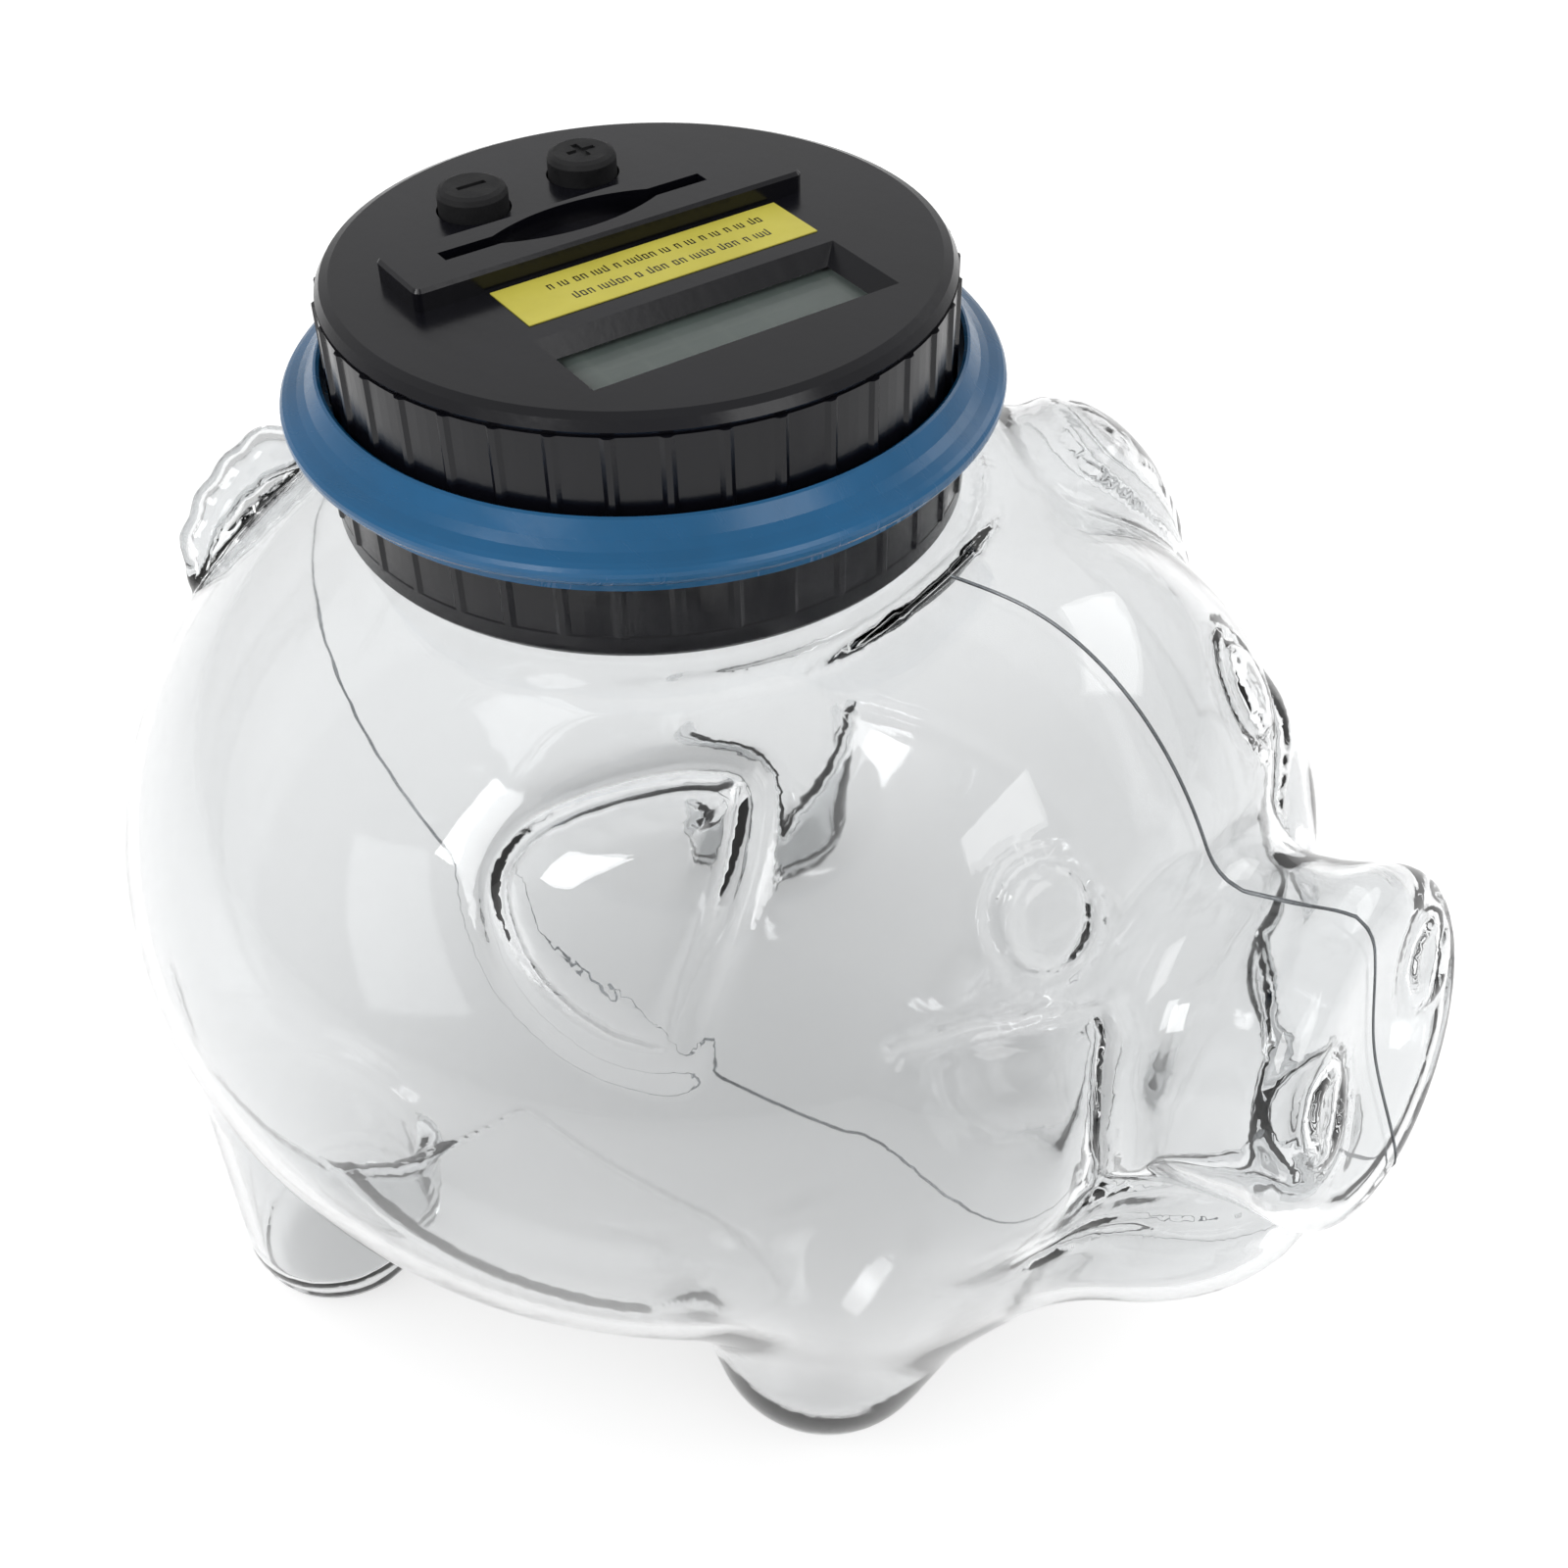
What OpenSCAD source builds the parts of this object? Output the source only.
// Coin counting jar: a clear pig-shaped jar with a screw lid that counts the coins dropped through it.
// The origin is on the ground under the middle of the part, +X is the way the pig faces, +Z is up.

/* [Jar] */
// Height of the lid's lower edge above the ground
collar_z = 142; // [141:0.5:145]
// How far the lid axis lies behind the middle of the part
lid_back = 20.8; // [20:0.1:22]
// Length of the belly, front to back
belly_l = 186; // [184:1:188]
// Width of the belly
belly_w = 183; // [180:1:186]
// Height of the belly
belly_h = 143; // [141:1:144]
// Thickness of the clear plastic wall
wall = 2; // [1.6:0.1:2.2]
// Width of the snout's flat face
snout_w = 54; // [50:1:58]
// Height of the snout's flat face
snout_h = 45; // [43:1:47]
// Radius of the front feet
front_foot_r = 17.5; // [16:0.5:18]
// Radius of the rear feet
rear_foot_r = 16; // [15:0.5:17]

/* [Neck and thread] */
// Outer radius of the neck
neck_r = 41.8; // [41.7:0.05:41.9]
// Height of the rim above the lid's lower edge
rim_h = 12.7; // [12.4:0.1:12.7]
// Rise of the thread in one full turn
thread_lead = 10; // [9:0.5:10]
// How far the thread ridges stand out from the neck
thread_h = 1.2; // [1:0.1:1.2]

/* [Lid] */
// Turn of the lid's coin slot away from the pig's length, seen from above
lid_angle = 70.8; // [65:0.2:75]
// Height of the flat top above the lid's lower edge
lid_h = 34.3; // [34.3:0.1:36]
// Radius of the upper housing's wall
cap_r = 43.4; // [43.3:0.1:43.7]
// Radius of the trim ring's bead
bead_r = 50.75; // [50:0.25:52]
// Number of grip ribs around the lid
rib_count = 38; // [30:1:40]
// Thickness of the lid's floor
floor_t = 2.4; // [2.4:0.1:2.4]

/* [Coin slot] */
// Length of the coin slot
slot_l = 40.7; // [38:0.1:41]
// Width of the coin slot
slot_w = 2.5; // [2.3:0.1:2.8]
// Height of the raised bar around the slot
bar_h = 3; // [2.5:0.1:3.4]
// Travel of the sensing lever, in degrees
lever_travel = 55; // [40:1:55]

/* [Buttons and display] */
// Radius of a button
button_r = 5; // [4.6:0.1:5]
// How far a button stands above the top
button_h = 3.4; // [3:0.1:3.6]
// Length of the display window
window_l = 42; // [40:0.5:42]
// Width of the display window
window_w = 11.6; // [11:0.2:11.8]

/* [Batteries] */
// Radius of an AAA cell
cell_r = 5.25; // [5.15:0.05:5.25]
// Length of an AAA cell
cell_l = 44.5; // [44:0.1:44.5]

/* [Hidden] */

clear_col = "#d6dadc";
black_col = "#17181d";
blue_col = "#1a6a94";
gap = 0.3;      // clearance between bodies that move past each other
eps = 0.01;     // overlap that makes cuts clean

// Body of the pig. Centres are measured from the lid axis and the lid's lower edge.
body_c = [6, 0, -66];
belly_c = [5.8, 0, -63];
head_c = [59.9, 0, -65.4];
head_size = [42, 64.6, 67.5];
jaw_c = [80, 0, -86];
jaw_size = [40, 32, 24];
snout_c = [123.4, 0, -47];
snout_tilt = 16;
blend_w = 7;    // width of the blends between the body's lobes
front_foot = [58, 36];
rear_foot = [-32, 66];
ear_c = [43, 60, -17];
ear_size = [17, 17, 16];
tail_c = [-68, -21, -21];
tail_size = [9, 11, 9];
shoulder_z = -0.9;  // highest point of the sunken shoulder under the lid's edge
shoulder_r = 47.6;
columns = 74;       // points around each ring of the jar's surface
outer_rows = 38;
inner_rows = 20;
neck_step = 0.6;    // height between the neck's rings

floor_z = rim_h + gap;           // underside of the lid's floor
deck_z = floor_z + floor_t;      // top of the lid's floor
plate_t = 2;                     // thickness of the upper housing's top and wall
plate_z = lid_h - plate_t;       // underside of the top plate
collar_in_r = neck_r + 1.6;      // inside of the threaded collar
spigot_r = cap_r - plate_t - 0.3;
ring_z = floor_z + 1.8;          // underside of the trim ring's inner flange
ring_t = 1.8;
rib_out = 0.45;                  // how far a grip rib stands out
rib_phase = 6.3;                 // turn of the first grip rib from the lid frame's X axis
collar_r = 45.3;                 // outside of the threaded collar, where its ribs stand
slot_c = [-4.4, 8.4];
slot_x0 = slot_c.x - slot_l / 2;
slot_x1 = slot_c.x + slot_l / 2;
chute_w = 3;                     // clear width of the coin chute
skin = 1.2;                      // thickness of the small internal walls
chamber_x1 = 33;                 // far end of the lever's chamber
chamber_w = 7.6;                 // clear width of the lever's chamber
pivot = [18.6, 27];              // lever axis, along and up
chamber_x0 = pivot[0] - 2.8;     // near end of the lever's chamber, clear of the spring's coil
lever_l = 26;
comb_r = 10;
pin_r = 1;
display_c = [-0.2, -20.7];
button_at = [[-11.9, 24.4], [6.2, 25.3]];
button_flange_z = plate_z - gap - 1;
board_z = 26.4;
board_t = 1.2;
screw_at = [[22.8, 27.2], [-22.8, 27.2], [12, -33.4], [-12, -33.4]];
board_screw_at = [[30, -8], [-30, -8], [-3, 31]];
cell_y = [-8.3, -19.5];
cell_z = deck_z + 0.25 + cell_r;
tray_x = 25.2;                   // half length of the battery tray inside
tray_y = [-25.6, -2.4];
plate_w = 0.4;
door_x = 24.3;
hinge_y = -4.1;
hinge_z = floor_z + floor_t / 2;

// ---- helpers ----

function over(a, b) = [a.x / b.x, a.y / b.y, a.z / b.z];
// Distance from body_c along d to the far side of an ellipsoid with centre c and semi-axes a, or 0.
function far_side(d, c, a) =
    let (u = over(d, a), w = over(c - body_c, a), p = u * u, q = u * w, k = q * q - p * (w * w - 1))
    k > 0 ? (q + sqrt(k)) / p : 0;
function blend_max(a, b, k) = let (h = max(k - abs(a - b), 0) / k) max(a, b) + h * h * k / 4;
function blend_min(a, b, k) = -blend_max(-a, -b, k);
// The snout is an oval barrel cut off by a face that leans back.
function snout_side(d) =
    let (n = [cos(snout_tilt), 0, sin(snout_tilt)], up = [-sin(snout_tilt), 0, cos(snout_tilt)],
        o = snout_c - body_c, y = d.y / (snout_w / 2), z = (d * up) / (snout_h / 2),
        w = (o * up) / (snout_h / 2), p = y * y + z * z, q = z * w, k = q * q - p * (w * w - 1))
    d * n > 0.05 && k > 0 ? blend_min((o * n) / (d * n), (q + sqrt(k)) / p, 8) : 0;
function body_side(d) =
    blend_max(
        blend_max(
            blend_max(far_side(d, belly_c, [belly_l, belly_w, belly_h] / 2),
                far_side(d, head_c, head_size), blend_w),
            snout_side(d), blend_w),
        far_side(d, jaw_c, jaw_size), blend_w);

// A leg is an upright round column, cut off flat at the sole.
function leg_side(d, at, r, inset) =
    let (p = [at.x - body_c.x, at.y - body_c.y], h = [d.x, d.y], m = h * h, q = h * p,
        k = q * q - m * (p * p - (r - inset) * (r - inset)))
    d.z < -0.1 && k > 0 ? blend_min((q + sqrt(k)) / m, (inset - collar_z - body_c.z) / d.z, 5) : 0;
function legs_side(d, inset) =
    max([for (side = [-1, 1]) max(
        leg_side(d, [front_foot.x, side * front_foot.y], front_foot_r, inset),
        leg_side(d, [rear_foot.x, side * rear_foot.y], rear_foot_r, inset))]);
function flip_y(p) = [p.x, -p.y, p.z];
// Distance from body_c to the pig's outside, or to its inside wall when inset is the wall's thickness.
// The ears and the tail are only on the outside.
function pig_side(d, inset) =
    let (body = blend_max(body_side(d) - inset, legs_side(d, inset), 4))
    inset > 0 ? body : max(body, far_side(d, ear_c, ear_size), far_side(d, flip_y(ear_c), ear_size),
        far_side(d, tail_c, tail_size));

function polar(r, a, z) = [r * cos(a), r * sin(a), z];
function column_angle(i) = 360 * i / columns;
// Where the belly's surface passes over a circle of radius r around the lid axis, found in a few steps.
function crest(i, r, inset, z = -2, steps = 5) =
    let (p = polar(r, column_angle(i), z), v = p - body_c, l = norm(v))
    steps == 0 ? p
        : crest(i, r, inset, body_c.z + (z - body_c.z) * (body_side(v / l) - inset) / l, steps - 1);
// One column of the pig's surface: rows from just above the lowest point up to the crest.
function pig_column(i, rows, inset) =
    let (top = crest(i, shoulder_r + inset, inset) - body_c, a = column_angle(i),
        lean = (atan2(top.y, top.x) - a + 540) % 360 - 180,
        rise = 90 + atan2(top.z, norm([top.x, top.y])))
    [for (j = [1:rows])
        let (t = j / rows, e = rise * t - 90, h = a + lean * t * t,
            d = [cos(e) * cos(h), cos(e) * sin(h), sin(e)])
        body_c + d * pig_side(d, inset)];
// How far the thread stands out of the neck at angle a and height z. Two ridges climb together.
function thread_out(a, z) =
    max([for (start = [0, 180])
        let (turn = (a - start + 360) % 360, off = abs(z - 4 - thread_lead * turn / 360),
            fade = min(1, turn / 12, (200 - turn) / 12))
        turn < 200 ? max(0, min(thread_h, (1.1 - off) * 2)) * fade : 0]);
function neck_column(i) =
    let (a = column_angle(i), low = min(crest(i, shoulder_r, 0).z, shoulder_z), bore = neck_r - wall)
    concat(
        [polar(shoulder_r - 0.3, a, low), polar(neck_r + 0.3, a, low)],
        [for (z = [0.3:neck_step:rim_h - 0.5]) polar(neck_r + thread_out(a, z), a, z)],
        [polar(neck_r, a, rim_h - 0.3), polar(neck_r - 0.3, a, rim_h), polar(bore + 0.3, a, rim_h),
            polar(bore, a, rim_h - 0.3), polar(bore, a, low - wall + 0.3),
            polar(bore + 0.3, a, low - wall), polar(shoulder_r + wall - 0.3, a, low - wall)]);

// The jar's whole skin, as one closed surface: up the outside, over the rim and down the inside.
module jar_skin() {
    down = [0, 0, -1];
    grid = [for (i = [0:columns - 1]) concat(
        pig_column(i, outer_rows, 0), neck_column(i),
        [for (p = [pig_column(i, inner_rows, wall)], j = [inner_rows - 1:-1:0]) p[j]])];
    rows = len(grid[0]);
    ends = columns * rows;
    polyhedron(
        concat([for (column = grid) each column],
            [body_c + down * pig_side(down, 0), body_c + down * pig_side(down, wall)]),
        [for (i = [0:columns - 1]) let (a = i * rows, b = (i + 1) % columns * rows) each concat(
            [[ends, a, b], [ends + 1, b + rows - 1, a + rows - 1]],
            [for (j = [0:rows - 2]) each [[a + j, a + j + 1, b + j + 1], [a + j, b + j + 1, b + j]]])]);
}

module at_lid_axis() {
    translate([-lid_back, 0, collar_z]) children();
}

// Lid frame: X along the coin slot, Y towards the buttons, Z from the lid's lower edge.
module at_lid() {
    at_lid_axis() rotate([0, 0, lid_angle]) children();
}

module block(x0, x1, y0, y1, z0, z1) {
    translate([x0, y0, z0]) cube([x1 - x0, y1 - y0, z1 - z0]);
}

// A band with upright grip ribs, as one prism: the ribs have sloping sides.
module rib_band(r, z0, z1) {
    pitch = 360 / rib_count;
    step = [[-1.3, 0], [-0.5, rib_out], [0.5, rib_out], [1.3, 0], [pitch * 0.38, 0], [pitch * 0.62, 0]];
    translate([0, 0, z0]) linear_extrude(z1 - z0) polygon([
        for (i = [0:rib_count - 1], s = step)
            let (a = rib_phase + i * pitch + s[0]) (r + s[1]) * [cos(a), sin(a)]]);
}

// ---- jar ----

module jar() {
    color(clear_col) at_lid_axis() jar_skin();
}

// ---- lid shells ----

module trim_ring() {
    color(blue_col) at_lid_axis() rotate_extrude($fn = 120) polygon([
        [spigot_r + 1.3, ring_z], [bead_r - 3.5, ring_z], [bead_r - 3.5, ring_z - 1.8],
        [bead_r - 2.4, ring_z - 1.8], [bead_r - 2.2, ring_z - 0.4], [bead_r - 1.2, ring_z - 0.1],
        [bead_r - 0.5, ring_z + 0.5], [bead_r - 0.1, ring_z + 1.1], [bead_r, ring_z + 1.8],
        [bead_r - 0.1, ring_z + 2.3], [bead_r - 0.5, ring_z + 2.8], [bead_r - 1.2, ring_z + 3.2],
        [bead_r - 2.6, ring_z + 3.8], [bead_r - 3.8, ring_z + 4.7], [bead_r - 4.8, ring_z + 6.1],
        [bead_r - 5.3, ring_z + 6.8], [bead_r - 5.7, ring_z + 7], [cap_r + 1.2, ring_z + 6.7],
        [cap_r + 1.2, ring_z + ring_t], [spigot_r + 1.3, ring_z + ring_t]]);
}

module lens(depth_z) {
    reach = 28;   // radius of the two arcs that make the lens outline
    translate([slot_c.x, slot_c.y, depth_z]) intersection() {
        translate([0, reach - 4, 0]) cylinder(r = reach, h = 10, $fn = 120);
        translate([0, 4 - reach, 0]) cylinder(r = reach, h = 10, $fn = 120);
    }
}

module top_housing() {
    rim_z = ring_z + ring_t + gap;
    color(black_col) at_lid() difference() {
        union() {
            rotate_extrude($fn = 120) polygon([
                [0, lid_h], [cap_r - 2.1, lid_h], [cap_r - 0.8, lid_h - 0.5], [cap_r, lid_h - 1.7],
                [cap_r - 0.5, plate_z - 0.9], [cap_r - 0.5, rim_z], [cap_r - plate_t, rim_z],
                [cap_r - plate_t - 0.4, plate_z], [0, plate_z]]);
            difference() {
                rib_band(cap_r, rim_z + 0.1, plate_z - 0.4);
                cylinder(r = cap_r - 1, h = lid_h, $fn = 120);
            }
            hull() for (x = [-30.8, 27.3], y = [2.8, 12.5]) {
                translate([x, y, lid_h - eps]) cylinder(r = 1.2, h = bar_h - 0.5, $fn = 24);
                translate([x, y, lid_h]) cylinder(r = 0.8, h = bar_h, $fn = 24);
            }
            block(display_c.x - 25, display_c.x + 25, display_c.y - 8.9, display_c.y + 9.3,
                30.7, plate_z + eps);
            for (p = screw_at) translate([p.x, p.y, deck_z])
                cylinder(r = 3, h = plate_z - deck_z + eps, $fn = 32);
            for (p = board_screw_at) translate([p.x, p.y, board_z + board_t])
                cylinder(r = 2.4, h = plate_z - board_z - board_t + eps, $fn = 32);
        }
        block(slot_x0, slot_x1, slot_c.y - slot_w / 2, slot_c.y + slot_w / 2, plate_z - 1, lid_h + bar_h + 1);
        lens(lid_h);
        hull() {
            translate([display_c.x, display_c.y, 31.6])
                cube([window_l, window_w, eps], center = true);
            translate([display_c.x, display_c.y, lid_h + 0.2])
                cube([window_l + 4.6, window_w + 3.6, eps], center = true);
        }
        block(display_c.x - 22, display_c.x + 22, display_c.y - 6.8, display_c.y + 6.8, 30, 31.7);
        for (p = button_at) translate([p.x, p.y, plate_z - 1]) cylinder(r = button_r + gap, h = 4, $fn = 48);
        for (p = screw_at) translate([p.x, p.y, deck_z - 1]) cylinder(r = 1.05, h = 13, $fn = 24);
        for (p = board_screw_at) translate([p.x, p.y, board_z]) cylinder(r = 0.8, h = 5.4, $fn = 24);
    }
}

module base_housing() {
    color(black_col) at_lid() difference() {
        union() {
            rotate_extrude($fn = 120) polygon([
                [0, floor_z], [collar_in_r, floor_z], [collar_in_r, 0], [collar_r - 0.6, 0], [collar_r, 0.8],
                [collar_r, 3.2], [collar_r - 0.5, 4.2], [collar_r - 0.5, ring_z - 0.4], [spigot_r, ring_z - 0.4], [spigot_r, ring_z + 5],
                [spigot_r - plate_t, ring_z + 5], [spigot_r - plate_t, deck_z], [0, deck_z]]);
            difference() {
                rib_band(collar_r, 3.6, ring_z - 0.5);
                cylinder(r = collar_r - 1, h = lid_h, $fn = 120);
            }
            for (start = [0, 180], i = [0:8]) {
                rotate([0, 0, start + 20 * i - 5 - lid_angle])
                    translate([0, 0, 1.5 + thread_lead * (20 * i + 1) / 360])
                    rotate_extrude(angle = 12, $fn = 120) polygon([
                        [collar_in_r + 0.3, -1.1], [collar_in_r, -1.1], [neck_r + 0.4, -0.5],
                        [neck_r + 0.4, 0.5], [collar_in_r, 1.1], [collar_in_r + 0.3, 1.1]]);
            }
            block(-tray_x - skin, tray_x + skin, tray_y[0] - skin, tray_y[1] + skin,
                deck_z - eps, cell_z + 3);
        }
        block(-tray_x, tray_x, tray_y[0], tray_y[1], deck_z, cell_z + 4);
        block(-door_x - gap, door_x + gap, tray_y[0] + 0.2, hinge_y + 1.5, floor_z - 1, deck_z + 1);
        block(-5.3, 5.3, -28.5, tray_y[0] + 1, floor_z - 1, floor_z + 1.2);
        for (side = [-1, 1]) translate([side * 25.8, hinge_y, hinge_z]) rotate([0, 90, 0])
            cylinder(r = 0.76, h = 3, center = true, $fn = 24);
        block(slot_x0, slot_x1, slot_c.y - chute_w / 2, slot_c.y + chute_w / 2, floor_z - 1, deck_z + 1);
        for (p = screw_at) translate([p.x, p.y, floor_z - 1]) {
            cylinder(r = 1.2, h = 5, $fn = 24);
            cylinder(r = 2.7, h = 2.2, $fn = 32);
        }
    }
}

// ---- display ----

module lcd_window() {
    color("#aeb8b6") at_lid()
        block(display_c.x - 21.9, display_c.x + 21.9, display_c.y - 6.7, display_c.y + 6.7, 30.7, 31.7);
}

module lcd_panel() {
    color("#6b7775") at_lid()
        block(display_c.x - 22.5, display_c.x + 22.5, display_c.y - 7.6, display_c.y + 7.6, 28.8, 30.6);
}

module contact_strips() {
    color("#c8a8b0") at_lid() for (side = [-1, 1])
        translate([display_c.x, display_c.y + side * 6.4, board_z + board_t + 0.6])
            cube([40, 1.8, 1.2], center = true);
}

module circuit_board() {
    color("#1f5a34") at_lid() difference() {
        intersection() {
            union() {
                block(-33, 33, -20, 0.5, board_z, board_z + board_t);
                block(-25.5, 25.5, -29.8, 0, board_z, board_z + board_t);
                block(-36.5, -28.2, -18, 28, board_z, board_z + board_t);
                block(-31, 12.5, 14.5, 33.5, board_z, board_z + board_t);
            }
            translate([0, 0, board_z - 1]) cylinder(r = 39, h = 4, $fn = 96);
        }
        translate([screw_at[1].x, screw_at[1].y, board_z - 1]) cylinder(r = 3.4, h = 4, $fn = 32);
        for (p = board_screw_at) translate([p.x, p.y, board_z - 1]) cylinder(r = 1.1, h = 4, $fn = 24);
    }
}

module label() {
    color("#cfc75a") at_lid() block(-22, 22.8, -9.8, 0.8, lid_h, lid_h + 0.15);
}

// ---- buttons ----

module button(at) {
    top = lid_h + button_h - button_flange_z - 0.9;
    color("#0e0e10") at_lid() translate([at.x, at.y, 0]) {
        translate([0, 0, button_flange_z]) cylinder(r = button_r + 1, h = 1, $fn = 48);
        translate([0, 0, button_flange_z + 0.9]) rotate_extrude($fn = 48) polygon([
            [0, 0], [button_r, 0], [button_r, top - 1], [button_r - 0.3, top - 0.3],
            [button_r - 1, top], [0, top]]);
    }
}

module minus_button() {
    difference() {
        button(button_at[0]);
        at_lid() translate([button_at[0].x, button_at[0].y, lid_h + button_h])
            cube([4.4, 1, 0.8], center = true);
    }
}

module plus_button() {
    difference() {
        button(button_at[1]);
        at_lid() translate([button_at[1].x, button_at[1].y, lid_h + button_h]) {
            cube([4.4, 1, 0.8], center = true);
            cube([1, 4.4, 0.8], center = true);
        }
    }
}

module tact_switches() {
    color("#3b3d42") at_lid() for (p = button_at) translate([p.x, p.y, board_z + board_t]) {
        translate([-2.25, -2.25, 0]) cube([4.5, 4.5, 1.4]);
        cylinder(r = 1.5, h = 2.1, $fn = 24);
    }
}

// ---- coin path ----

module coin_chute() {
    color("#222328") at_lid() difference() {
        union() {
            block(slot_x0 - skin, chamber_x0,
                slot_c.y - chute_w / 2 - skin, slot_c.y + chute_w / 2 + skin, deck_z, plate_z);
            block(chamber_x0 - skin, chamber_x1,
                slot_c.y - chamber_w / 2 - skin, slot_c.y + chamber_w / 2 + skin, deck_z, plate_z);
        }
        block(slot_x0, pivot[0] - 1, slot_c.y - chute_w / 2, slot_c.y + chute_w / 2, deck_z - 1, plate_z + 1);
        block(chamber_x0, chamber_x1 - skin, slot_c.y - chamber_w / 2, slot_c.y + chamber_w / 2,
            deck_z - 1, plate_z + 1);
        translate([pivot[0], slot_c.y, pivot[1]]) rotate([90, 0, 0])
            cylinder(r = pin_r, h = 20, center = true, $fn = 24);
    }
}

module lever_pin() {
    color("silver") at_lid() translate([pivot[0], slot_c.y, pivot[1]]) rotate([90, 0, 0])
        cylinder(r = pin_r, h = chamber_w + 2 * skin + 0.6, center = true, $fn = 24);
}

module sensing_lever() {
    thick = 1.6;
    color("#e4e2da") at_lid() translate([pivot[0], slot_c.y, pivot[1]]) difference() {
        union() {
            rotate([90, 0, 0]) cylinder(r = 3, h = 2, center = true, $fn = 32);
            block(1.5 - lever_l, 0, -thick / 2, thick / 2, -1.5, 1.5);
            translate([1.5 - lever_l, 0, 0]) rotate([90, 0, 0])
                cylinder(r = 1.5, h = thick, center = true, $fn = 24);
            // Encoder comb: five teeth on a sector under the hub
            for (i = [0:4]) rotate([0, 43 + 7 * i, 0]) block(2, comb_r, -0.6, 0.6, -0.35, 0.35);
            rotate([90, 0, 0]) rotate([0, 0, -75]) rotate_extrude(angle = 35, $fn = 60)
                translate([2.5, -0.6]) square([3, 1.2]);
        }
        rotate([90, 0, 0]) cylinder(r = pin_r + 0.06, h = 10, center = true, $fn = 24);
    }
}

module lever_spring() {
    wire = 0.35;
    coil_r = 2;
    color("#b9bcc0") at_lid() translate([pivot[0], slot_c.y + 1.6, pivot[1]]) {
        rotate([-90, 0, 0]) rotate_extrude($fn = 32) for (i = [0:2])
            translate([coil_r, 1.8 * wire * i]) circle(r = wire, $fn = 16);
        translate([0, 3.6 * wire, -coil_r]) rotate([0, 90, 0]) cylinder(r = 0.8 * wire, h = 12.6, $fn = 16);
    }
}

module photo_sensor() {
    color("#15161a") at_lid() {
        block(23.4, 28.4, slot_c.y - 3.6, slot_c.y + 3.6, deck_z, deck_z + 1);
        for (side = [-1, 1]) block(23.4, 28.4, slot_c.y + side * 2.4 - 1.2, slot_c.y + side * 2.4 + 1.2,
            deck_z + 0.9, 24.2);
    }
}

// ---- power ----

module cell(y, way) {
    color("#b4572a") at_lid() translate([way * (tray_x - plate_w), y, cell_z]) rotate([0, -90 * way, 0]) {
        cylinder(r = 1.9, h = 1.2, $fn = 32);
        translate([0, 0, 1]) cylinder(r = cell_r, h = cell_l - 1, $fn = 48);
    }
}

module battery_1() {
    cell(cell_y[0], 1);
}

module battery_2() {
    cell(cell_y[1], -1);
}

module battery_springs() {
    wire = 0.46;
    end = wire + 0.03;
    turns = 6;
    reach = 2 * tray_x - 2 * plate_w - cell_l;
    color("#c9ccd0") at_lid() for (i = [0, 1]) {
        way = i == 0 ? -1 : 1;
        translate([way * (tray_x - plate_w), cell_y[i], cell_z]) rotate([0, -90 * way, 0])
            for (k = [0:turns - 1]) translate([0, 0, end + k * (reach - 2 * end) / (turns - 1)])
                rotate_extrude($fn = 32) translate([3.4 - 0.25 * k, 0]) circle(r = wire, $fn = 16);
    }
}

module battery_plates() {
    color("#c9ccd0") at_lid() for (side = [-1, 1], y = cell_y)
        translate([side * (tray_x - plate_w / 2), y, cell_z]) cube([plate_w, 8, 8], center = true);
}

module battery_door() {
    color(black_col) at_lid() {
        block(-door_x, door_x, tray_y[0] + 0.5, hinge_y, floor_z, deck_z);
        translate([0, hinge_y, hinge_z]) rotate([0, 90, 0]) {
            cylinder(r = floor_t / 2, h = 2 * door_x, center = true, $fn = 32);
            cylinder(r = 0.7, h = 2 * door_x + 5, center = true, $fn = 24);
        }
        block(-5, 5, tray_y[0] - 2.3, tray_y[0] + 0.6, floor_z, floor_z + 0.9);
    }
}

// ---- fasteners ----

module screw(head_r, head_h, shank_r, shank_l) {
    difference() {
        union() {
            cylinder(r = head_r, h = head_h, $fn = 32);
            translate([0, 0, head_h - eps]) cylinder(r = shank_r, h = shank_l, $fn = 24);
        }
        for (a = [0, 90]) rotate([0, 0, a]) cube([head_r * 1.2, 0.5, head_h], center = true);
    }
}

module housing_screws() {
    color("silver") at_lid() for (p = screw_at) translate([p.x, p.y, floor_z])
        screw(2.5, 1.2, 1.05, 10);
}

module board_screws() {
    color("silver") at_lid() for (p = board_screw_at) translate([p.x, p.y, board_z - 1])
        screw(1.8, 1, 0.8, 4.6);
}

jar();
trim_ring();
top_housing();
base_housing();
lcd_window();
lcd_panel();
contact_strips();
circuit_board();
label();
minus_button();
plus_button();
tact_switches();
coin_chute();
sensing_lever();
lever_pin();
lever_spring();
photo_sensor();
battery_1();
battery_2();
battery_springs();
battery_plates();
battery_door();
housing_screws();
board_screws();
